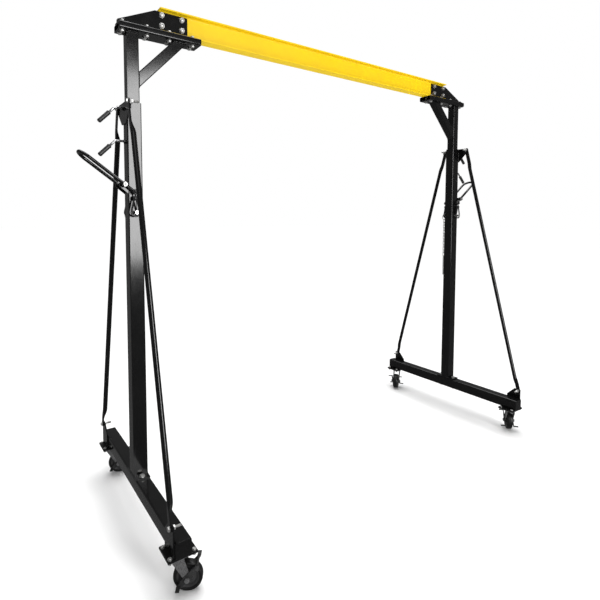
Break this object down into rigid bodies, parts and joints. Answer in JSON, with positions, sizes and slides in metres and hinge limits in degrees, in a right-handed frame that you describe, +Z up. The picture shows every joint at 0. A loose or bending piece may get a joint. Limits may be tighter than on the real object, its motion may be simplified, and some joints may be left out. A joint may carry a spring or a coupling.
{
  "type": "portable gantry crane",
  "caption": "Height-adjustable portable gantry crane: I-beam on two braced telescoping masts with base rails and swivel casters.",
  "frame": {"origin": "on the floor under the middle of the beam", "axes": "+X along the beam to the right end frame, +Y to the side its spare pins hang on, +Z up"},
  "size_m": [2.6086, 1.0712, 2.225],
  "materials": {
    "black_paint": "semi-gloss",
    "yellow_paint": "satin",
    "hook_paint": "semi-gloss",
    "zinc": "zinc plated",
    "caster_zinc": "zinc plated",
    "pedal_steel": "satin",
    "pin_chrome": "polished",
    "grip_rubber": "matte",
    "chain_steel": "zinc plated",
    "wheel_rubber": "satin"
  },
  "bodies": {
    "left_frame": {"base_rail_left": "black_paint", "base_plates_left": "black_paint", "lower_mast_left": "black_paint", "collar_plate_left": "black_paint", "brace_near_left": "black_paint", "brace_far_left": "black_paint", "frame_bolts_left": "zinc", "lever_bracket_left": "black_paint", "caster_plate_left_near": "caster_zinc", "caster_plate_left_far": "caster_zinc"},
    "portal": {"beam": "yellow_paint", "upper_mast_left": "black_paint", "knee_brace_left": "black_paint", "saddle_left": "black_paint", "beam_shoe_left": "black_paint", "top_bolts_left": "zinc", "upper_mast_right": "black_paint", "knee_brace_right": "black_paint", "saddle_right": "black_paint", "beam_shoe_right": "black_paint", "top_bolts_right": "zinc"},
    "right_frame": {"base_rail_right": "black_paint", "base_plates_right": "black_paint", "lower_mast_right": "black_paint", "collar_plate_right": "black_paint", "brace_near_right": "black_paint", "brace_far_right": "black_paint", "frame_bolts_right": "zinc", "lever_bracket_right": "black_paint", "caster_plate_right_near": "caster_zinc", "caster_plate_right_far": "caster_zinc"},
    "jack_lever_left": {"jack_lever_left": "black_paint"},
    "lift_hooks_left": {"lift_hooks_left": "hook_paint"},
    "lift_pin_left": {"lift_pin_left": "zinc"},
    "tether_pin_left": {"tether_pin_left": "chain_steel"},
    "upper_lock_pin_left": {"upper_lock_pin_left": "pin_chrome", "upper_lock_grip_left": "grip_rubber"},
    "lower_lock_pin_left": {"lower_lock_pin_left": "pin_chrome", "lower_lock_grip_left": "grip_rubber"},
    "caster_fork_left_near": {"caster_fork_left_near": "caster_zinc"},
    "caster_wheel_left_near": {"caster_wheel_left_near": "wheel_rubber"},
    "caster_pedal_left_near": {"caster_pedal_left_near": "pedal_steel"},
    "caster_fork_left_far": {"caster_fork_left_far": "caster_zinc"},
    "caster_wheel_left_far": {"caster_wheel_left_far": "wheel_rubber"},
    "caster_pedal_left_far": {"caster_pedal_left_far": "pedal_steel"},
    "jack_lever_right": {"jack_lever_right": "black_paint"},
    "lift_hooks_right": {"lift_hooks_right": "hook_paint"},
    "lift_pin_right": {"lift_pin_right": "zinc"},
    "tether_pin_right": {"tether_pin_right": "chain_steel"},
    "upper_lock_pin_right": {"upper_lock_pin_right": "pin_chrome", "upper_lock_grip_right": "grip_rubber"},
    "lower_lock_pin_right": {"lower_lock_pin_right": "pin_chrome", "lower_lock_grip_right": "grip_rubber"},
    "caster_fork_right_near": {"caster_fork_right_near": "caster_zinc"},
    "caster_wheel_right_near": {"caster_wheel_right_near": "wheel_rubber"},
    "caster_pedal_right_near": {"caster_pedal_right_near": "pedal_steel"},
    "caster_fork_right_far": {"caster_fork_right_far": "caster_zinc"},
    "caster_wheel_right_far": {"caster_wheel_right_far": "wheel_rubber"},
    "caster_pedal_right_far": {"caster_pedal_right_far": "pedal_steel"}
  },
  "joints": [
    {"name": "portal_lift", "type": "slide", "parent": "left_frame", "child": "portal", "axis": [0, 0, 1], "range_m": [0, 0.945]},
    {"name": "right_frame_slide", "type": "slide", "parent": "portal", "child": "right_frame", "axis": [0, 0, -1], "range_m": [0, 0.945]},
    {"name": "jack_lever_left_turn", "type": "hinge", "parent": "left_frame", "child": "jack_lever_left", "pos_m": [-1.132, 0, 1.469], "axis": [0, -1, 0], "range_deg": [0, 75]},
    {"name": "lift_hooks_left_turn", "type": "hinge", "parent": "jack_lever_left", "child": "lift_hooks_left", "pos_m": [-1.09287, 0, 1.43951], "axis": [0, -1, 0], "range_deg": [-75, 0]},
    {"name": "lift_pin_left_rise", "type": "slide", "parent": "left_frame", "child": "lift_pin_left", "axis": [0, 0, 1], "range_m": [0, 0.06]},
    {"name": "tether_pin_left_swing", "type": "hinge", "parent": "lift_pin_left", "child": "tether_pin_left", "pos_m": [-1.089, 0.0568, 1.354], "axis": [0, 1, 0], "range_deg": [-20, 20]},
    {"name": "upper_lock_pin_left_slide", "type": "slide", "parent": "left_frame", "child": "upper_lock_pin_left", "axis": [-1, 0, 0], "range_m": [-0.012, 0.012]},
    {"name": "lower_lock_pin_left_slide", "type": "slide", "parent": "left_frame", "child": "lower_lock_pin_left", "axis": [-1, 0, 0], "range_m": [-0.012, 0.012]},
    {"name": "caster_left_near_swivel", "type": "hinge", "parent": "left_frame", "child": "caster_fork_left_near", "pos_m": [-1.085, -0.468, 0.13], "axis": [0, 0, 1], "continuous": true},
    {"name": "caster_left_near_roll", "type": "hinge", "parent": "caster_fork_left_near", "child": "caster_wheel_left_near", "pos_m": [-1.05586, -0.48551, 0.053], "axis": [0.515, 0.8572, 0], "continuous": true},
    {"name": "caster_left_near_pedal_turn", "type": "hinge", "parent": "caster_fork_left_near", "child": "caster_pedal_left_near", "pos_m": [-1.05586, -0.48551, 0.053], "axis": [0.515, 0.8572, 0], "range_deg": [-10, 10]},
    {"name": "caster_left_far_swivel", "type": "hinge", "parent": "left_frame", "child": "caster_fork_left_far", "pos_m": [-1.085, 0.468, 0.13], "axis": [0, 0, 1], "continuous": true},
    {"name": "caster_left_far_roll", "type": "hinge", "parent": "caster_fork_left_far", "child": "caster_wheel_left_far", "pos_m": [-1.05444, 0.4531, 0.053], "axis": [0.4384, 0.8988, 0], "continuous": true},
    {"name": "caster_left_far_pedal_turn", "type": "hinge", "parent": "caster_fork_left_far", "child": "caster_pedal_left_far", "pos_m": [-1.05444, 0.4531, 0.053], "axis": [0.4384, 0.8988, 0], "range_deg": [-10, 10]},
    {"name": "jack_lever_right_turn", "type": "hinge", "parent": "right_frame", "child": "jack_lever_right", "pos_m": [1.132, 0, 1.469], "axis": [0, 1, 0], "range_deg": [0, 75]},
    {"name": "lift_hooks_right_turn", "type": "hinge", "parent": "jack_lever_right", "child": "lift_hooks_right", "pos_m": [1.09287, 0, 1.43951], "axis": [0, 1, 0], "range_deg": [-75, 0]},
    {"name": "lift_pin_right_rise", "type": "slide", "parent": "right_frame", "child": "lift_pin_right", "axis": [0, 0, 1], "range_m": [0, 0.06]},
    {"name": "tether_pin_right_swing", "type": "hinge", "parent": "lift_pin_right", "child": "tether_pin_right", "pos_m": [1.089, 0.0568, 1.354], "axis": [0, 1, 0], "range_deg": [-20, 20]},
    {"name": "upper_lock_pin_right_slide", "type": "slide", "parent": "right_frame", "child": "upper_lock_pin_right", "axis": [1, 0, 0], "range_m": [-0.012, 0.012]},
    {"name": "lower_lock_pin_right_slide", "type": "slide", "parent": "right_frame", "child": "lower_lock_pin_right", "axis": [1, 0, 0], "range_m": [-0.012, 0.012]},
    {"name": "caster_right_near_swivel", "type": "hinge", "parent": "right_frame", "child": "caster_fork_right_near", "pos_m": [1.085, -0.468, 0.13], "axis": [0, 0, 1], "continuous": true},
    {"name": "caster_right_near_roll", "type": "hinge", "parent": "caster_fork_right_near", "child": "caster_wheel_right_near", "pos_m": [1.11027, -0.44525, 0.053], "axis": [-0.6691, 0.7431, 0], "continuous": true},
    {"name": "caster_right_near_pedal_turn", "type": "hinge", "parent": "caster_fork_right_near", "child": "caster_pedal_right_near", "pos_m": [1.11027, -0.44525, 0.053], "axis": [-0.6691, 0.7431, 0], "range_deg": [-10, 10]},
    {"name": "caster_right_far_swivel", "type": "hinge", "parent": "right_frame", "child": "caster_fork_right_far", "pos_m": [1.085, 0.468, 0.13], "axis": [0, 0, 1], "continuous": true},
    {"name": "caster_right_far_roll", "type": "hinge", "parent": "caster_fork_right_far", "child": "caster_wheel_right_far", "pos_m": [1.05617, 0.44998, 0.053], "axis": [0.5299, -0.848, 0], "continuous": true},
    {"name": "caster_right_far_pedal_turn", "type": "hinge", "parent": "caster_fork_right_far", "child": "caster_pedal_right_far", "pos_m": [1.05617, 0.44998, 0.053], "axis": [0.5299, -0.848, 0], "range_deg": [-10, 10]}
  ],
  "couplings": [
    {"joint": "right_frame_slide", "follows": "portal_lift", "ratio": 1},
    {"joint": "lift_hooks_left_turn", "follows": "jack_lever_left_turn", "ratio": -1},
    {"joint": "lift_pin_left_rise", "follows": "jack_lever_left_turn", "m_per_rad": 0.0455},
    {"joint": "lift_hooks_right_turn", "follows": "jack_lever_right_turn", "ratio": -1},
    {"joint": "lift_pin_right_rise", "follows": "jack_lever_right_turn", "m_per_rad": 0.0455}
  ]
}
